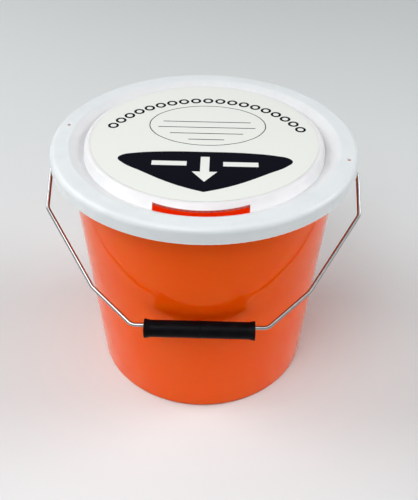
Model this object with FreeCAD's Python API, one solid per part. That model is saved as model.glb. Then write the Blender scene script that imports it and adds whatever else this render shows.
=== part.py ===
import FreeCAD, Part
import math
import os

# Collection bucket: a tapered moulded pail, a press-on lid with a coin slot, a round label on the
# lid, a bent wire bail and a loose tube grip. Millimetres, +Z up, origin on the floor under the
# bucket's centre, X along the bail's pivots, front (coin slot and resting bail) towards -Y.

Vector = FreeCAD.Vector
X_AXIS = Vector(1, 0, 0)
Z_AXIS = Vector(0, 0, 1)

# Bucket wall and floor
BASE_RADIUS = 88.6
WALL_SLOPE = 0.0706
WALL = 1.6
FOOT_INNER_RADIUS = 83.0
FOOT_ROUND = 3.0
FLOOR_UNDER = 3.0
FLOOR_TOP = 5.0
FLOOR_ROUND = 5.0

# Rolled rim of the bucket: a flange and a drop skirt with gussets between it and the wall
RIM_TOP = 200.9
RIM_UNDER = 198.7
RIM_RADIUS = 112.6
DROP_INNER_RADIUS = 110.9
DROP_BOTTOM = 191.6
RIM_ROUND = 1.5
GUSSET_COUNT = 16
GUSSET_THICK = 1.4
GUSSET_FOOT = 190.0

# Bail ears moulded under the rim: a plate on two cheeks, open below
PIVOT_HEIGHT = 177.0
EAR_HALF_WIDTH = 9.0
EAR_FACE = 112.0
EAR_BACK = 109.4
CHEEK = 2.0
PIVOT_HOLE_RADIUS = 1.55

# Lid: plateau, moat, seat over the rim and outer skirt, one even wall
LID_WALL = 1.2
LID_SEAT = RIM_TOP + LID_WALL
MOAT_RADIUS = 88.0
MOAT_BOTTOM = 193.9
SEAT_INNER_RADIUS = 101.6
LID_RADIUS = 115.2
LID_ROUND = 4.0
SKIRT_RADIUS = 115.6
SKIRT_BOTTOM = 190.3
SNAP_BEAD_RADIUS = 113.2
SNAP_BEAD_HEIGHT = 1.1
SNAP_BEAD_LEAD = 2.4

# Plateau: its edge and foot lie further in and out at the front, where they make the coin ramp
PLATEAU_TOP = 203.2
PLATEAU_RADIUS = 89.6
PLATEAU_ROUND = 3.0
PLATEAU_FOOT = 195.0
PLATEAU_FOOT_RADIUS = 90.4
RAMP_TOP_RADIUS = 86.5
RAMP_FOOT_RADIUS = 96.0
RAMP_SPREAD = 1.3
RING_POINTS = 48
ROUND_STEPS = 4

# Coin slot, an arc along the ramp's foot, and the pair of tie holes through lid and rim
SLOT_CENTRE = -12.7
SLOT_INNER_RADIUS = 78.0
SLOT_WIDTH = 5.3
SLOT_LENGTH = 64.8
SLOT_CORNER = 1.0
TIE_HOLE_RADIUS = 1.5
TIE_SPAN = 215.2
TIE_TURN = -11.4
TIE_CENTRE = -4.3

# Label on the plateau
LABEL_RADIUS = 85.4
LABEL_THICK = 0.2

# Bail: distances from the centre plane (half widths) and out from the pivot axis
WIRE_RADIUS = 1.5
BAIL_DROP_ANGLE = 34.4
SIDE_HALF_WIDTH = 118.4
SIDE_LENGTH = 36.3
KNEE_HALF_WIDTH = 79.9
KNEE_REACH = 97.4
GRIP_BEND_HALF_WIDTH = 49.4
GRIP_REACH = 125.0
PIVOT_BEND = 5.8
BEND = 8.0
HEAD_RADIUS = 2.6
HEAD_THICK = 1.8
HEAD_PLAY = 0.3

# Grip: a loose tube that hangs from the wire
GRIP_HALF_LENGTH = 40.3
GRIP_RADIUS = 6.3
GRIP_END_RADIUS = 7.3
GRIP_END_LENGTH = 4.5
GRIP_RIDGE_RADIUS = 6.6
GRIP_RIDGE_HALF_WIDTH = 1.0
GRIP_BORE_RADIUS = 5.0
GRIP_PLAY = 0.3


def wall_radius(z):
    return BASE_RADIUS + WALL_SLOPE * z


def inner_radius(z):
    return wall_radius(z) - WALL


def rounded_edges(points, radii, closed):
    """Straight edges through the points, with an arc of the given radius at each corner."""
    count = len(points)
    joints = []
    for i, point in enumerate(points):
        inside = closed or 0 < i < count - 1
        if not inside or radii[i] == 0:
            joints.append((point, None, point))
            continue
        back = (points[i - 1] - point).normalize()
        ahead = (points[(i + 1) % count] - point).normalize()
        half = back.getAngle(ahead) / 2
        middle = (back + ahead).normalize()
        reach = radii[i] / math.tan(half)
        tip = radii[i] / math.sin(half) - radii[i]
        joints.append((point + back * reach, point + middle * tip, point + ahead * reach))
    edges = []
    for i, (start, tip, end) in enumerate(joints):
        if tip:
            edges.append(Part.Arc(start, tip, end).toShape())
        if closed or i < count - 1:
            edges.append(Part.LineSegment(end, joints[(i + 1) % count][0]).toShape())
    return edges


def turned(corners):
    """Solid of revolution about Z from (radius, height, corner rounding) points."""
    points = [Vector(r, 0, z) for r, z, rounding in corners]
    radii = [rounding for r, z, rounding in corners]
    face = Part.Face(Part.Wire(rounded_edges(points, radii, True)))
    return face.revolve(Vector(), Z_AXIS, 360)


def offset_line(points, distance):
    """The (radius, height) line moved sideways by the wall's thickness, with mitred corners."""
    sides = []
    for (r0, z0), (r1, z1) in zip(points, points[1:]):
        length = math.hypot(r1 - r0, z1 - z0)
        sides.append(((z1 - z0) / length, (r0 - r1) / length))
    moved = []
    for i, (r, z) in enumerate(points):
        before = sides[max(i - 1, 0)]
        after = sides[min(i, len(sides) - 1)]
        stretch = distance / (1 + before[0] * after[0] + before[1] * after[1])
        moved.append((r + (before[0] + after[0]) * stretch, z + (before[1] + after[1]) * stretch))
    return moved


def tie_holes():
    holes = []
    for reach in (-TIE_SPAN / 2, TIE_SPAN / 2):
        turn = math.radians(TIE_TURN)
        place = Vector(reach * math.cos(turn), TIE_CENTRE + reach * math.sin(turn), RIM_UNDER - 1)
        holes.append(Part.makeCylinder(TIE_HOLE_RADIUS, LID_SEAT - RIM_UNDER + 2, place, Z_AXIS))
    return holes


def bucket_shell():
    return turned([
        (0, FLOOR_UNDER, 0),
        (FOOT_INNER_RADIUS, FLOOR_UNDER, 1.0),
        (FOOT_INNER_RADIUS + 0.6, 0, 0.8),
        (BASE_RADIUS, 0, FOOT_ROUND),
        (wall_radius(RIM_UNDER), RIM_UNDER, 2.0),
        (DROP_INNER_RADIUS, RIM_UNDER, 0.8),
        (DROP_INNER_RADIUS, DROP_BOTTOM, 0),
        (RIM_RADIUS, DROP_BOTTOM, 0.6),
        (RIM_RADIUS, RIM_TOP, RIM_ROUND),
        (inner_radius(RIM_TOP), RIM_TOP, RIM_ROUND),
        (inner_radius(FLOOR_TOP), FLOOR_TOP, FLOOR_ROUND),
        (0, FLOOR_TOP, 0),
    ])


def gusset(angle):
    """Web between the wall and the drop skirt, with a sloping lower edge."""
    foot = wall_radius(GUSSET_FOOT) - WALL / 2
    outer = (DROP_INNER_RADIUS + RIM_RADIUS) / 2
    top = (RIM_UNDER + RIM_TOP) / 2
    outline = [(foot, GUSSET_FOOT), (outer, DROP_BOTTOM), (outer, top), (foot, top)]
    points = [Vector(r, -GUSSET_THICK / 2, z) for r, z in outline]
    web = Part.Face(Part.makePolygon(points + points[:1])).extrude(Vector(0, GUSSET_THICK, 0))
    web.rotate(Vector(), Z_AXIS, angle)
    return web


def ear():
    """Pivot ear on the +X side: a round-ended plate and its two cheeks back to the wall."""
    start = wall_radius(PIVOT_HEIGHT) - 2 * WALL
    top = (RIM_UNDER + RIM_TOP) / 2
    corners = [(-1, PIVOT_HEIGHT), (-1, top), (1, top), (1, PIVOT_HEIGHT)]
    points = [Vector(start, side * EAR_HALF_WIDTH, z) for side, z in corners]
    lowest = Vector(start, 0, PIVOT_HEIGHT - EAR_HALF_WIDTH)
    round_end = Part.Arc(points[-1], lowest, points[0]).toShape()
    outline = Part.Wire(Part.makePolygon(points).Edges + [round_end])
    block = Part.Face(outline).extrude(X_AXIS * (EAR_FACE - start))
    gap = EAR_HALF_WIDTH - CHEEK
    depth = RIM_UNDER - PIVOT_HEIGHT + 2 * EAR_HALF_WIDTH
    pocket = Part.makeBox(EAR_BACK - start, 2 * gap, depth, Vector(start, -gap, RIM_UNDER - depth))
    hole = Part.makeCylinder(PIVOT_HOLE_RADIUS, EAR_FACE, Vector(start, 0, PIVOT_HEIGHT), X_AXIS)
    inside = Part.makeCone(inner_radius(0), inner_radius(RIM_TOP), RIM_TOP)
    return block.cut([pocket, hole, inside])


def bucket():
    pieces = []
    for side in (0, 180):
        moulded = ear()
        moulded.rotate(Vector(), Z_AXIS, side)
        pieces.append(moulded)
    step = 360 / GUSSET_COUNT
    for i in range(GUSSET_COUNT):
        if i * step % 180:
            pieces.append(gusset(i * step))
    return bucket_shell().fuse(pieces).cut(tie_holes()).removeSplitter()


def coin_slot():
    """Upright cutter: an arc across the front with ends that run straight back."""
    centre = Vector(0, SLOT_CENTRE, MOAT_BOTTOM - 3 * LID_WALL)
    depth = PLATEAU_TOP + LID_WALL - centre.z
    outer_radius = SLOT_INNER_RADIUS + SLOT_WIDTH
    core = Part.makeCylinder(SLOT_INNER_RADIUS, depth, centre)
    ring = Part.makeCylinder(outer_radius, depth, centre).cut(core)
    corner = centre - Vector(SLOT_LENGTH / 2, outer_radius, 0)
    cutter = ring.common(Part.makeBox(SLOT_LENGTH, outer_radius, depth, corner))
    upright = [e for e in cutter.Edges if e.BoundBox.DiagonalLength - e.BoundBox.ZLength < 1e-3]
    return cutter.makeFillet(SLOT_CORNER, upright)


def plateau(inset, rounding):
    """Raised middle of the lid, or its hollow one wall further in: steep behind, a ramp in front."""
    rise = PLATEAU_TOP - PLATEAU_FOOT
    top = PLATEAU_TOP - inset
    bottom = MOAT_BOTTOM - 2 * inset
    rings = [[] for _ in range(ROUND_STEPS + 2)]
    for i in range(RING_POINTS):
        turn = 2 * math.pi * i / RING_POINTS
        front = max(0.0, -math.sin(turn)) ** RAMP_SPREAD
        edge = PLATEAU_RADIUS + (RAMP_TOP_RADIUS - PLATEAU_RADIUS) * front
        foot = PLATEAU_FOOT_RADIUS + (RAMP_FOOT_RADIUS - PLATEAU_FOOT_RADIUS) * front
        run = foot - edge
        brink = edge + (run - math.hypot(rise, run)) * inset / rise
        steepness = math.atan2(rise, run)
        profile = [(brink + run * (top - bottom) / rise, bottom)]
        for step in range(ROUND_STEPS, -1, -1):
            bend = steepness * step / ROUND_STEPS
            reach = brink + rounding * (math.sin(bend) - math.tan(steepness / 2))
            profile.append((reach, top - rounding * (1 - math.cos(bend))))
        for ring, (radius, height) in zip(rings, profile):
            ring.append(Vector(radius * math.cos(turn), radius * math.sin(turn), height))
    wires = []
    for ring in rings:
        curve = Part.BSplineCurve()
        curve.interpolate(ring, PeriodicFlag=True)
        wires.append(Part.Wire(curve.toShape()))
    return Part.makeLoft(wires, True, True)


def lid():
    """The outer form with its plateau, less the hollow of the same form one wall further in."""
    top = [
        (0, MOAT_BOTTOM),
        (MOAT_RADIUS, MOAT_BOTTOM),
        (SEAT_INNER_RADIUS, LID_SEAT),
        (LID_RADIUS, LID_SEAT),
        (SKIRT_RADIUS, SKIRT_BOTTOM),
    ]
    under = offset_line(top, LID_WALL)
    top_rounds = (0, 0, 2.0, LID_ROUND, 0.5)
    under_rounds = (0, 0, 0.8, LID_ROUND - LID_WALL)
    outside = [(r, z, rounding) for (r, z), rounding in zip(top, top_rounds)]
    outside += [(0, SKIRT_BOTTOM, 0)]
    below = SKIRT_BOTTOM - LID_WALL
    hollow = [(r, z, rounding) for (r, z), rounding in zip(under[:4], under_rounds)]
    hollow += [
        (under[4][0], SKIRT_BOTTOM + SNAP_BEAD_LEAD, 0),
        (SNAP_BEAD_RADIUS, SKIRT_BOTTOM + SNAP_BEAD_HEIGHT, 0.4),
        (SNAP_BEAD_RADIUS, below, 0),
        (0, below, 0),
    ]
    outer = turned(outside).fuse(plateau(0, PLATEAU_ROUND))
    inner = turned(hollow).fuse(plateau(LID_WALL, PLATEAU_ROUND - LID_WALL))
    return outer.cut([inner, coin_slot()] + tie_holes())


def label():
    return Part.makeCylinder(LABEL_RADIUS, LABEL_THICK, Vector(0, 0, PLATEAU_TOP))


def bail_point(half_width, reach):
    """Point of the bail's middle line, in the plane in which the bail rests at the front."""
    drop = math.radians(BAIL_DROP_ANGLE)
    return Vector(half_width, -reach * math.cos(drop), PIVOT_HEIGHT - reach * math.sin(drop))


def bail():
    head_inside = EAR_BACK - HEAD_PLAY - HEAD_THICK
    right_side = [
        (head_inside, 0, 0),
        (SIDE_HALF_WIDTH, 0, PIVOT_BEND),
        (SIDE_HALF_WIDTH, SIDE_LENGTH, BEND),
        (KNEE_HALF_WIDTH, KNEE_REACH, BEND),
        (GRIP_BEND_HALF_WIDTH, GRIP_REACH, BEND),
    ]
    left_side = [(-width, reach, rounding) for width, reach, rounding in reversed(right_side)]
    route = right_side + left_side
    points = [bail_point(width, reach) for width, reach, rounding in route]
    spine = Part.Wire(rounded_edges(points, [rounding for width, reach, rounding in route], False))
    section = Part.Wire(Part.makeCircle(WIRE_RADIUS, points[0], X_AXIS))
    wire = spine.makePipeShell([section], True, False)
    heads = [
        Part.makeCylinder(HEAD_RADIUS, HEAD_THICK, points[0], X_AXIS),
        Part.makeCylinder(HEAD_RADIUS, HEAD_THICK, points[-1], -X_AXIS),
    ]
    return wire.fuse(heads).removeSplitter()


def grip():
    hang = GRIP_BORE_RADIUS - WIRE_RADIUS - GRIP_PLAY
    end = GRIP_HALF_LENGTH
    neck = end - GRIP_END_LENGTH
    tube = turned([
        (GRIP_BORE_RADIUS, -end, 0.6),
        (GRIP_END_RADIUS, -end, 0.6),
        (GRIP_RADIUS, -neck, 4.0),
        (GRIP_RADIUS, -GRIP_RIDGE_HALF_WIDTH, 0),
        (GRIP_RIDGE_RADIUS, 0, 0.8),
        (GRIP_RADIUS, GRIP_RIDGE_HALF_WIDTH, 0),
        (GRIP_RADIUS, neck, 4.0),
        (GRIP_END_RADIUS, end, 0.6),
        (GRIP_BORE_RADIUS, end, 0.6),
    ])
    tube.rotate(Vector(), Vector(0, 1, 0), 90)
    tube.translate(bail_point(0, GRIP_REACH) - Z_AXIS * hang)
    return tube


NODES = {"bucket": bucket, "lid": lid, "label": label, "bail": bail, "grip": grip}

os.makedirs("parts", exist_ok=True)
for name, make in NODES.items():
    shape = make()
    shape.exportStep("parts/" + name + ".step")
    box = shape.BoundBox
    print(name, shape.isValid(), len(shape.Solids), round(shape.Volume), "mm3", box)
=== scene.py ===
import math

import bpy
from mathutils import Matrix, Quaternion, Vector


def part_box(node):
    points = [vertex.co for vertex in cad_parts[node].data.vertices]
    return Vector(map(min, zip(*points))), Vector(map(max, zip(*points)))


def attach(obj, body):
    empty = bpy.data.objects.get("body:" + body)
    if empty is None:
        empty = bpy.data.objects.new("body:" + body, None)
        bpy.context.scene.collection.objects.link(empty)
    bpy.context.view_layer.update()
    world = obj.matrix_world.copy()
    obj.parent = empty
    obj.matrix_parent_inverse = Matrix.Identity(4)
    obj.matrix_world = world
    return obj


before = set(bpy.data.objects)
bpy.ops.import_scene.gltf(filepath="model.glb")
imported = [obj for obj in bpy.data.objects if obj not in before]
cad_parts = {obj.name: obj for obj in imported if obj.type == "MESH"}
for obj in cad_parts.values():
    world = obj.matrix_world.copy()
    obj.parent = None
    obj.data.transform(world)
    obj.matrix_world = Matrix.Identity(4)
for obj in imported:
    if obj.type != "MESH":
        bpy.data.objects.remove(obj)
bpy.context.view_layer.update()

# Pail: one injection moulding in orange polypropylene from a polished tool, with its
# rim, gussets and bail ears in the same shot. The glossy wall mirrors the grip and the
# wire, and it is thin enough to let light through, so the inside glows red.
PAIL_ORANGE = "#FF6005"
PAIL_STREAK = "#FB5803"
PAIL_STREAK_MM = 38.0
PAIL_STREAK_DRAWN = 5.0  # times as tall as wide
PAIL_HANDLING_MM = 24.0
PAIL_GLOSS = {"To Min": 0.03, "To Max": 0.07}
PAIL_GLEAM = 0.25
PAIL_GLEAM_TINT = "#FFD058"
PAIL_RIPPLE_MM = 17.0
PAIL_RIPPLE_BUMP = {"Strength": 0.12, "Distance": 0.0002}
PAIL_SCUFF_MM = 2.2
PAIL_SCUFF_BAND = {"From Min": 0.010, "From Max": 0.001}  # heights above the floor
PAIL_SCUFF_DULLING = {"To Min": 0.0, "To Max": 0.35}
PAIL_LIGHT_THROUGH = {
    "Subsurface Weight": 1.0,
    "Subsurface Radius": (1.0, 0.15, 0.05),
    "Subsurface Scale": 0.0015,
}
POLYPROPYLENE_IOR = 1.49
NOISE_SPAN = {"From Min": 0.3, "From Max": 0.7}  # most noise values lie in here


def linear(hex_colour):
    """An sRGB hex colour as the linear values that shaders take."""
    values = []
    for i in (1, 3, 5):
        c = int(hex_colour[i:i + 2], 16) / 255
        values.append(c / 12.92 if c <= 0.04045 else ((c + 0.055) / 1.055) ** 2.4)
    return values + [1.0]


def set_inputs(node, inputs):
    """Give a node's inputs their values, or link them to other nodes' outputs."""
    for socket, value in inputs.items():
        if isinstance(value, bpy.types.NodeSocket):
            node.id_data.links.new(value, node.inputs[socket])
        else:
            node.inputs[socket].default_value = value


def add_node(owner, kind, inputs=None, **settings):
    """One node in a material or the world, with its settings, values and links."""
    node = owner.node_tree.nodes.new("ShaderNode" + kind)
    for name, value in settings.items():
        setattr(node, name, value)
    set_inputs(node, inputs or {})
    return node


def start_material(name):
    """A new material, its shader and the coordinates of the piece that wears it."""
    material = bpy.data.materials.new(name)
    material.use_nodes = True
    place = add_node(material, "TexCoord").outputs["Object"]
    return material, material.node_tree.nodes["Principled BSDF"], place


def per_metre(feature_mm):
    """Noise scale whose features are about this many millimetres wide."""
    return 1000.0 / feature_mm


# Moulded polypropylene: pigment drawn out in faint upright streaks from the gate in the
# base, a long shallow ripple in the gloss, duller patches from handling, and fine
# scuffs round the foot.
pail_plastic, shader, place = start_material("orange_polypropylene")
upright = add_node(pail_plastic, "Mapping", {
    "Vector": place, "Scale": (1.0, 1.0, 1.0 / PAIL_STREAK_DRAWN)})
streak = add_node(pail_plastic, "TexNoise", {
    "Vector": upright.outputs["Vector"], "Scale": per_metre(PAIL_STREAK_MM),
    "Detail": 3.0})
tone = add_node(pail_plastic, "Mix", {
    "Factor": streak.outputs["Fac"], "A": linear(PAIL_ORANGE),
    "B": linear(PAIL_STREAK)}, data_type="RGBA")
handling = add_node(pail_plastic, "TexNoise", {
    "Vector": place, "Scale": per_metre(PAIL_HANDLING_MM), "Detail": 4.0})
polish = add_node(pail_plastic, "MapRange", {
    "Value": handling.outputs["Fac"], **NOISE_SPAN, **PAIL_GLOSS})
scuff = add_node(pail_plastic, "TexNoise", {
    "Vector": place, "Scale": per_metre(PAIL_SCUFF_MM), "Detail": 5.0})
height = add_node(pail_plastic, "SeparateXYZ", {"Vector": place})
foot = add_node(pail_plastic, "MapRange", {
    "Value": height.outputs["Z"], **PAIL_SCUFF_BAND, **PAIL_SCUFF_DULLING})
scuffing = add_node(pail_plastic, "Math", {
    0: scuff.outputs["Fac"], 1: foot.outputs["Result"]}, operation="MULTIPLY")
dullness = add_node(pail_plastic, "Math", {
    0: polish.outputs["Result"], 1: scuffing.outputs["Value"]}, operation="ADD")
ripple = add_node(pail_plastic, "TexNoise", {
    "Vector": place, "Scale": per_metre(PAIL_RIPPLE_MM), "Detail": 1.0})
relief = add_node(pail_plastic, "Bump", {
    "Height": ripple.outputs["Fac"], **PAIL_RIPPLE_BUMP})
set_inputs(shader, {
    "Base Color": tone.outputs["Result"],
    "Roughness": dullness.outputs["Value"],
    "Normal": relief.outputs["Normal"],
    "IOR": POLYPROPYLENE_IOR,
    "Specular IOR Level": PAIL_GLEAM,
    "Specular Tint": linear(PAIL_GLEAM_TINT),
    **PAIL_LIGHT_THROUGH,
})
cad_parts["bucket"].data.materials[0] = pail_plastic

# Gate mark: the nub that the gate left under the middle of the pail's base, and the low
# bead round it. Both are of the pail's own plastic and moulded with it, so half of each
# lies within the base.
GATE_PLACE = (0, 0, 0.003)
GATE_NUB_RADIUS = 0.0035
GATE_NUB_DEPTH = 0.0018
GATE_NUB_EDGE = 0.0003
GATE_BEAD_RADIUS = 0.012
GATE_BEAD_HALF_WIDTH = 0.0005
GATE_BEAD_FLATNESS = 0.6
bpy.ops.object.select_all(action="DESELECT")
bpy.ops.mesh.primitive_cylinder_add(
    vertices=48, radius=GATE_NUB_RADIUS, depth=GATE_NUB_DEPTH, location=GATE_PLACE)
nub = bpy.context.object
nub.name = "gate_nub"
edge = nub.modifiers.new("soft_edge", "BEVEL")
edge.width = GATE_NUB_EDGE
edge.segments = 3
bpy.ops.object.modifier_apply(modifier="soft_edge")
bpy.ops.object.select_all(action="DESELECT")
bpy.ops.mesh.primitive_torus_add(
    major_radius=GATE_BEAD_RADIUS, minor_radius=GATE_BEAD_HALF_WIDTH,
    major_segments=96, minor_segments=12, location=GATE_PLACE)
bead = bpy.context.object
bead.name = "gate_bead"
bpy.ops.object.mode_set(mode="EDIT")
bpy.ops.mesh.select_all(action="SELECT")
bpy.ops.transform.resize(
    value=(1.0, 1.0, GATE_BEAD_FLATNESS), center_override=GATE_PLACE)
bpy.ops.object.mode_set(mode="OBJECT")
for piece in (nub, bead):
    bpy.ops.object.select_all(action="DESELECT")
    piece.select_set(True)
    bpy.context.view_layer.objects.active = piece
    bpy.ops.object.transform_apply(location=True)
    bpy.ops.object.shade_smooth_by_angle()
    piece.data.materials.append(pail_plastic)
    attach(piece, "bucket")

# Lid: one moulding in white polypropylene from a fine-blasted tool, pressed over the
# rim. Its cool white lets some light through to the inside, and its satin face carries
# faint handling marks.
LID_WHITE = "#E0E6E8"
LID_MARK = "#D9DFE1"
LID_MARK_MM = 26.0
LID_MARK_SPAN = {"From Min": 0.45, "From Max": 0.75}
LID_SATIN = {"To Min": 0.30, "To Max": 0.42}
LID_GRAIN_MM = 0.9
LID_GRAIN_BUMP = {"Strength": 0.12, "Distance": 0.00008}
LID_LIGHT_THROUGH = {
    "Subsurface Weight": 0.7,
    "Subsurface Radius": (1.0, 0.95, 0.9),
    "Subsurface Scale": 0.003,
}
# Painted shade and red inside light on the slot's cut edges, and how far it reaches.
SLOT_EDGE_SHADE = "#B84A36"
SLOT_EDGE_SHADE_REACH = 0.0003
SLOT_ARC_CENTRE = (0.0, -0.0127, 0.0)
SLOT_ARC_RADIUS = 0.08065
SLOT_HALF_WIDTH = 0.00265
SLOT_HALF_LENGTH = 0.0324
IN_PLAN = (1.0, 1.0, 0.0)  # times a place, this drops its height
lid_plastic, shader, place = start_material("white_polypropylene")
mark = add_node(lid_plastic, "TexNoise", {
    "Vector": place, "Scale": per_metre(LID_MARK_MM), "Detail": 5.0, "Roughness": 0.6})
marking = add_node(lid_plastic, "MapRange", {
    "Value": mark.outputs["Fac"], **LID_MARK_SPAN})
face = add_node(lid_plastic, "Mix", {
    "Factor": marking.outputs["Result"], "A": linear(LID_WHITE),
    "B": linear(LID_MARK)}, data_type="RGBA")
# Painted shade: the slot's cut edges are painted dark red, for the shade in the opening
# and the red light from inside the pail. The paint fades with the distance past the
# slot's outline in plan.
plan = add_node(lid_plastic, "VectorMath", {
    0: place, 1: IN_PLAN}, operation="MULTIPLY")
spoke = add_node(lid_plastic, "VectorMath", {
    0: plan.outputs["Vector"], 1: SLOT_ARC_CENTRE}, operation="DISTANCE")
off_arc = add_node(lid_plastic, "Math", {
    0: spoke.outputs["Value"], 1: SLOT_ARC_RADIUS}, operation="SUBTRACT")
across = add_node(lid_plastic, "Math", {
    0: off_arc.outputs["Value"]}, operation="ABSOLUTE")
past_side = add_node(lid_plastic, "Math", {
    0: across.outputs["Value"], 1: SLOT_HALF_WIDTH}, operation="SUBTRACT")
axes = add_node(lid_plastic, "SeparateXYZ", {"Vector": place})
along = add_node(lid_plastic, "Math", {
    0: axes.outputs["X"]}, operation="ABSOLUTE")
past_end = add_node(lid_plastic, "Math", {
    0: along.outputs["Value"], 1: SLOT_HALF_LENGTH}, operation="SUBTRACT")
past = add_node(lid_plastic, "Math", {
    0: past_side.outputs["Value"], 1: past_end.outputs["Value"]}, operation="MAXIMUM")
front = add_node(lid_plastic, "Math", {
    0: axes.outputs["Y"], 1: 0.0}, operation="LESS_THAN")
slot_edge_shade = add_node(lid_plastic, "MapRange", {
    "Value": past.outputs["Value"], "From Min": 0.0, "From Max": SLOT_EDGE_SHADE_REACH,
    "To Min": front.outputs["Value"], "To Max": 0.0})
tone = add_node(lid_plastic, "Mix", {
    "Factor": slot_edge_shade.outputs["Result"], "A": face.outputs["Result"],
    "B": linear(SLOT_EDGE_SHADE)}, data_type="RGBA")
satin = add_node(lid_plastic, "MapRange", {
    "Value": mark.outputs["Fac"], **NOISE_SPAN, **LID_SATIN})
# The blasted grain is about 0.1 mm in the real face and is drawn coarser so that it
# shows.
grain = add_node(lid_plastic, "TexNoise", {
    "Vector": place, "Scale": per_metre(LID_GRAIN_MM), "Detail": 2.0})
relief = add_node(lid_plastic, "Bump", {
    "Height": grain.outputs["Fac"], **LID_GRAIN_BUMP})
set_inputs(shader, {
    "Base Color": tone.outputs["Result"],
    "Roughness": satin.outputs["Result"],
    "Normal": relief.outputs["Normal"],
    "IOR": POLYPROPYLENE_IOR,
    **LID_LIGHT_THROUGH,
})
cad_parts["lid"].data.materials[0] = lid_plastic

# Label: a round of cream vinyl under a clear satin film, stuck to the lid's plateau.
# It is darker in a thin patchy band just inside its cut edge, and the film lies a
# little uneven over the moulding.
LABEL_CREAM = "#E2E5E0"
# The tone of the thin patchy band just inside the label's cut edge.
LABEL_EDGE_DARK = "#D8DAD5"
LABEL_EDGE = 0.0854
LABEL_EDGE_DARK_BAND = {"From Min": LABEL_EDGE - 0.0007, "From Max": LABEL_EDGE - 0.0001}
LABEL_GLEAM = 0.35
LABEL_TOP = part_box("label")[1][2]
FILM_SATIN = {"To Min": 0.26, "To Max": 0.36}
FILM_SPECK_MM = 1.4
FILM_WAVE_MM = 30.0
FILM_WAVE_BUMP = {"Strength": 0.3, "Distance": 0.0004}
vinyl, shader, place = start_material("printed_vinyl")
plan = add_node(vinyl, "VectorMath", {0: place, 1: IN_PLAN}, operation="MULTIPLY")
reach = add_node(vinyl, "VectorMath", {0: plan.outputs["Vector"]}, operation="LENGTH")
speck = add_node(vinyl, "TexNoise", {
    "Vector": place, "Scale": per_metre(FILM_SPECK_MM), "Detail": 3.0})
rim = add_node(vinyl, "MapRange", {
    "Value": reach.outputs["Value"], **LABEL_EDGE_DARK_BAND})
edge_dark = add_node(vinyl, "Math", {
    0: rim.outputs["Result"], 1: speck.outputs["Fac"]}, operation="MULTIPLY")
tone = add_node(vinyl, "Mix", {
    "Factor": edge_dark.outputs["Value"], "A": linear(LABEL_CREAM),
    "B": linear(LABEL_EDGE_DARK)}, data_type="RGBA")
film = add_node(vinyl, "MapRange", {"Value": speck.outputs["Fac"], **FILM_SATIN})
wave = add_node(vinyl, "TexNoise", {
    "Vector": place, "Scale": per_metre(FILM_WAVE_MM), "Detail": 2.0})
relief = add_node(vinyl, "Bump", {"Height": wave.outputs["Fac"], **FILM_WAVE_BUMP})
set_inputs(shader, {
    "Base Color": tone.outputs["Result"],
    "Roughness": film.outputs["Result"],
    "Normal": relief.outputs["Normal"],
    "Specular IOR Level": LABEL_GLEAM,
})
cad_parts["label"].data.materials[0] = vinyl

# Print on the label: dark navy screen ink laid on flat, an arc of coin rounds, an oval
# with ruled lines left empty for a name, and a shield with a bare arrow that points to
# the slot.
INK_NAVY = "#07080F"
INK_THIN = "#0C0D18"
INK_MOTTLE_MM = 1.2
INK_MATT = {"To Min": 0.50, "To Max": 0.62}
INK_GLEAM = 0.02
INK_THICK = 0.00006
navy_ink, shader, place = start_material("navy_screen_ink")
mottle = add_node(navy_ink, "TexNoise", {
    "Vector": place, "Scale": per_metre(INK_MOTTLE_MM), "Detail": 3.0})
tone = add_node(navy_ink, "Mix", {
    "Factor": mottle.outputs["Fac"], "A": linear(INK_NAVY), "B": linear(INK_THIN)},
    data_type="RGBA")
matt = add_node(navy_ink, "MapRange", {"Value": mottle.outputs["Fac"], **INK_MATT})
set_inputs(shader, {
    "Base Color": tone.outputs["Result"],
    "Roughness": matt.outputs["Result"],
    "Specular IOR Level": INK_GLEAM,
})

# The print's sizes are in millimetres from the label's middle. It lies a little to the
# right of it.
PRINT_SHIFT = 1.2
COIN_COUNT = 19
COIN_RADIUS = 4.2
COIN_HOLE_RADIUS = 2.3
COIN_ARC_RADIUS = 80.0
COIN_ARC_CENTRE = -20.0
COIN_ARC_REACH = 64.0  # degrees to each side
OVAL_CENTRE = (0.6, 19.3)
OVAL_OUTER_HALF = (45.0, 31.6)
OVAL_INNER_HALF = (44.3, 30.9)
OVAL_POINTS = 16
LINE_PLACES = (24.0, 15.1, 5.8, -3.4)
LINE_HALF_LENGTHS = (33.9, 37.3, 27.7, 13.5)
LINE_HALF_WIDTH = 0.45
SHIELD_TOP = -21.6
SHIELD_TIP = -74.2
SHIELD_HALF = (
    (33.0, -22.4), (52.0, -25.2), (60.0, -28.0), (62.8, -32.4),
    (59.0, -38.6), (45.0, -49.2), (24.0, -63.4), (10.0, -70.4))
ARROW_TIP = -61.5
ARROW_HALF = ((3.2, -28.5), (3.2, -48.5), (9.0, -48.5))
BAR_PLACES = ((-25.5, -38.0), (25.5, -38.0))
BAR_HALF = (12.5, 3.0)


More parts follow.
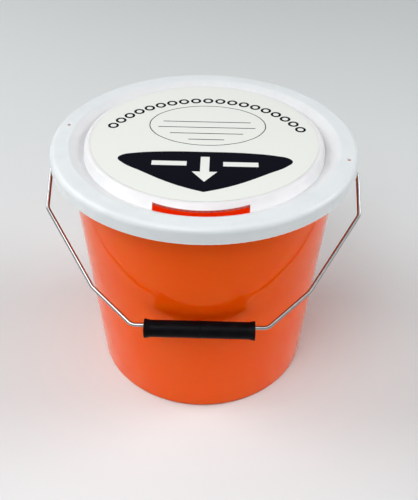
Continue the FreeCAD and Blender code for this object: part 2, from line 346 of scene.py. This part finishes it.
def print_ink(name, outlines):
    """Flat ink in closed outlines of (x, y, handle). One inside another stays bare."""
    bpy.ops.object.select_all(action="DESELECT")
    bpy.ops.curve.primitive_bezier_circle_add(radius=0.01)
    ink = bpy.context.object
    ink.name = name
    ink.data.dimensions = "2D"
    ink.data.fill_mode = "BOTH"
    ink.data.extrude = INK_THICK / 2
    ink.data.splines.clear()
    for points in outlines:
        spline = ink.data.splines.new("BEZIER")
        spline.bezier_points.add(len(points) - 1)
        spline.use_cyclic_u = True
        for knot, (x, y, handle) in zip(spline.bezier_points, points):
            knot.co = ((x + PRINT_SHIFT) / 1000, y / 1000, 0.0)
            knot.handle_left_type = handle
            knot.handle_right_type = handle
    bpy.ops.object.convert(target="MESH")
    ink.location.z = LABEL_TOP
    bpy.ops.object.transform_apply(location=True)
    bpy.ops.object.mode_set(mode="EDIT")
    bpy.ops.mesh.select_all(action="SELECT")
    bpy.ops.mesh.remove_doubles(threshold=0.000001)
    bpy.ops.mesh.normals_make_consistent(inside=False)
    bpy.ops.object.mode_set(mode="OBJECT")
    ink.data.materials.append(navy_ink)
    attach(ink, "lid")


def oval(x, y, across, deep, points=8):
    """A smooth closed outline round a centre, given its half sizes."""
    turns = [2 * math.pi * i / points for i in range(points)]
    return [
        (x + across * math.cos(t), y + deep * math.sin(t), "AUTO") for t in turns]


def strip(x, y, half_length, half_width):
    """A straight ruled line as a thin closed outline."""
    corners = ((-1, -1), (1, -1), (1, 1), (-1, 1))
    return [
        (x + sx * half_length, y + sy * half_width, "VECTOR") for sx, sy in corners]


def mirrored(half, tip, handle):
    """Down the right half of an outline to a sharp tip and back up its left half."""
    right = [(x, y, handle) for x, y in half]
    left = [(-x, y, handle) for x, y in reversed(half)]
    return right + [(0.0, tip, "VECTOR")] + left


coins = []
for i in range(COIN_COUNT):
    turn = math.radians(COIN_ARC_REACH * (2 * i / (COIN_COUNT - 1) - 1))
    x = COIN_ARC_RADIUS * math.sin(turn)
    y = COIN_ARC_CENTRE + COIN_ARC_RADIUS * math.cos(turn)
    for radius in (COIN_RADIUS, COIN_HOLE_RADIUS):
        coins.append(oval(x, y, radius, radius))
print_ink("label_coin_arc", coins)

print_ink("label_oval", [
    oval(*OVAL_CENTRE, *half, OVAL_POINTS)
    for half in (OVAL_OUTER_HALF, OVAL_INNER_HALF)])

print_ink("label_lines", [
    strip(0, y, half_length, LINE_HALF_WIDTH)
    for y, half_length in zip(LINE_PLACES, LINE_HALF_LENGTHS)])

shield = [(0.0, SHIELD_TOP, "AUTO")] + mirrored(SHIELD_HALF, SHIELD_TIP, "AUTO")
arrow = mirrored(ARROW_HALF, ARROW_TIP, "VECTOR")
bars = [strip(*bar_place, *BAR_HALF) for bar_place in BAR_PLACES]
print_ink("label_shield", [shield, arrow, *bars])

# Bail: one length of bright zinc-plated steel wire, bent cold and headed behind the
# ears. Plating over drawn wire is bright, with a fine mottle of duller zinc.
ZINC_BRIGHT = "#A9A9A7"
ZINC_DULL = "#84878B"
ZINC_MOTTLE_MM = 3.0
ZINC_GLOSS = {"To Min": 0.10, "To Max": 0.20}
ZINC_DRAW_MM = 0.7
ZINC_DRAW_BUMP = {"Strength": 0.1, "Distance": 0.00005}
zinc, shader, place = start_material("zinc_plated_wire")
mottle = add_node(zinc, "TexNoise", {
    "Vector": place, "Scale": per_metre(ZINC_MOTTLE_MM), "Detail": 4.0})
tone = add_node(zinc, "Mix", {
    "Factor": mottle.outputs["Fac"], "A": linear(ZINC_BRIGHT), "B": linear(ZINC_DULL)},
    data_type="RGBA")
gloss = add_node(zinc, "MapRange", {
    "Value": mottle.outputs["Fac"], **NOISE_SPAN, **ZINC_GLOSS})
drawn = add_node(zinc, "TexNoise", {
    "Vector": place, "Scale": per_metre(ZINC_DRAW_MM), "Detail": 2.0})
relief = add_node(zinc, "Bump", {"Height": drawn.outputs["Fac"], **ZINC_DRAW_BUMP})
set_inputs(shader, {
    "Base Color": tone.outputs["Result"],
    "Metallic": 1.0,
    "Roughness": gloss.outputs["Result"],
    "Normal": relief.outputs["Normal"],
})
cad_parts["bail"].data.materials[0] = zinc

# Grip: a moulded black polyethylene tube, loose on the wire, with flared ends and a rib
# at the middle where the two halves of its tool meet. It is satin, paler where hands
# have rubbed it.
GRIP_BLACK = "#050508"
GRIP_RUBBED = "#0C0C10"
GRIP_RUB_MM = 9.0
GRIP_RUB_SPAN = {"From Min": 0.45, "From Max": 0.8}
GRIP_SATIN = {"To Min": 0.36, "To Max": 0.50}
GRIP_GLEAM = 0.05
GRIP_GRAIN_MM = 0.8
GRIP_GRAIN_BUMP = {"Strength": 0.15, "Distance": 0.0001}
POLYETHYLENE_IOR = 1.51
grip_plastic, shader, place = start_material("black_polyethylene")
rub = add_node(grip_plastic, "TexNoise", {
    "Vector": place, "Scale": per_metre(GRIP_RUB_MM), "Detail": 5.0})
rubbing = add_node(grip_plastic, "MapRange", {
    "Value": rub.outputs["Fac"], **GRIP_RUB_SPAN})
tone = add_node(grip_plastic, "Mix", {
    "Factor": rubbing.outputs["Result"], "A": linear(GRIP_BLACK),
    "B": linear(GRIP_RUBBED)}, data_type="RGBA")
satin = add_node(grip_plastic, "MapRange", {
    "Value": rub.outputs["Fac"], **NOISE_SPAN, **GRIP_SATIN})
grain = add_node(grip_plastic, "TexNoise", {
    "Vector": place, "Scale": per_metre(GRIP_GRAIN_MM), "Detail": 2.0})
relief = add_node(grip_plastic, "Bump", {
    "Height": grain.outputs["Fac"], **GRIP_GRAIN_BUMP})
set_inputs(shader, {
    "Base Color": tone.outputs["Result"],
    "Roughness": satin.outputs["Result"],
    "Normal": relief.outputs["Normal"],
    "IOR": POLYETHYLENE_IOR,
    "Specular IOR Level": GRIP_GLEAM,
})
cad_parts["grip"].data.materials[0] = grip_plastic

# Studio: pale paper on the floor that runs into a pale backdrop, as a sweep does, a
# soft key lamp high at the front left, a broad lamp far out at each side, and weak
# lamps and a weak sky to fill the rest.
PAPER_PALE = "#DDE1E2"
PAPER_SIZE = 12.0
PAPER_ROUGHNESS = 0.9
SWEEP_SPAN = {"From Min": 0.8, "From Max": 2.2}  # distances from the object
BACKDROP_WHITE = "#FFFFFF"
BACKDROP_SEEN = 0.6
BACKDROP_LIGHT = 0.03
LAMP_AIM = Vector((0, 0, 0.12))
LAMPS = (  # name, place, width and watts
    ("key", (-0.45, -0.75, 1.25), 0.9, 9.0),
    ("front", (-0.12, -0.60, 1.25), 0.8, 2.6),
    ("left", (-2.2, 0.2, 1.6), 1.6, 35.0),
    ("right", (2.2, 0.2, 1.6), 1.6, 34.0),
    ("back_left", (-1.0, 0.9, 0.9), 0.9, 2.2),
    ("front_right", (1.0, -0.7, 0.9), 0.9, 2.2),
)
GLOW_PLACE = (0, -0.02, 0.05)
GLOW_RADIUS = 0.03
GLOW_WATTS = 0.10


def backdrop_rays(owner):
    """1 for a ray from the eye, a mirror or glass, and 0 for one that lights things."""
    ray = add_node(owner, "LightPath")
    seen = add_node(owner, "Math", {
        0: ray.outputs["Is Camera Ray"], 1: ray.outputs["Is Glossy Ray"]},
        operation="MAXIMUM")
    shown = add_node(owner, "Math", {
        0: seen.outputs["Value"], 1: ray.outputs["Is Transmission Ray"]},
        operation="MAXIMUM")
    return shown.outputs["Value"]


bpy.ops.object.select_all(action="DESELECT")
bpy.ops.mesh.primitive_plane_add(size=PAPER_SIZE)
paper = bpy.context.object
paper.name = "studio_paper"
paper_finish, shader, place = start_material("studio_paper")
set_inputs(shader, {
    "Base Color": linear(PAPER_PALE), "Roughness": PAPER_ROUGHNESS})
reach = add_node(paper_finish, "VectorMath", {0: place}, operation="LENGTH")
far = add_node(paper_finish, "MapRange", {
    "Value": reach.outputs["Value"], **SWEEP_SPAN,
    "To Max": backdrop_rays(paper_finish)}, interpolation_type="SMOOTHSTEP")
backdrop = add_node(paper_finish, "Emission", {"Strength": BACKDROP_SEEN})
sweep = add_node(paper_finish, "MixShader", {
    0: far.outputs["Result"], 1: shader.outputs["BSDF"],
    2: backdrop.outputs["Emission"]})
set_inputs(paper_finish.node_tree.nodes["Material Output"], {
    "Surface": sweep.outputs["Shader"]})
paper.data.materials.append(paper_finish)

for name, lamp_place, width, watts in LAMPS:
    lamp = bpy.data.lights.new(name, "AREA")
    lamp.shape = "DISK"
    lamp.size = width
    lamp.energy = watts
    holder = bpy.data.objects.new(name, lamp)
    holder.location = lamp_place
    aim = LAMP_AIM - Vector(lamp_place)
    holder.rotation_euler = aim.to_track_quat("-Z", "Y").to_euler()
    bpy.context.collection.objects.link(holder)

# The light that the thin wall and lid let in goes round inside the pail many times,
# more often than the renderer follows it, so a weak lamp inside stands for the rest.
glow = bpy.data.lights.new("inside_glow", "POINT")
glow.energy = GLOW_WATTS
glow.shadow_soft_size = GLOW_RADIUS
holder = bpy.data.objects.new("inside_glow", glow)
holder.location = GLOW_PLACE
holder.visible_camera = False
holder.visible_glossy = False
bpy.context.collection.objects.link(holder)

world = bpy.data.worlds.new("studio")
world.use_nodes = True
strength = add_node(world, "MapRange", {
    "Value": backdrop_rays(world), "To Min": BACKDROP_LIGHT, "To Max": BACKDROP_SEEN})
set_inputs(world.node_tree.nodes["Background"], {
    "Color": linear(BACKDROP_WHITE), "Strength": strength.outputs["Result"]})
bpy.context.scene.world = world
bpy.context.scene.view_settings.view_transform = "Standard"

# Camera: the photograph's place and angle, worked out from the outlines of lid, wall
# and base.
EYE = Vector((0.0107, -0.4721, 0.4685))
LOOK = Vector((-0.0101, 0.7845, -0.6200))
ROLL = math.radians(-0.96)
LENS_MM = 51.2
SENSOR_MM = 36.0
camera = bpy.data.cameras.new("camera")
camera.lens = LENS_MM
camera.sensor_width = SENSOR_MM
eye = bpy.data.objects.new("camera", camera)
eye.location = EYE
eye.rotation_mode = "QUATERNION"
eye.rotation_quaternion = Quaternion(LOOK, ROLL) @ LOOK.to_track_quat("-Z", "Y")
bpy.context.collection.objects.link(eye)
bpy.context.scene.camera = eye
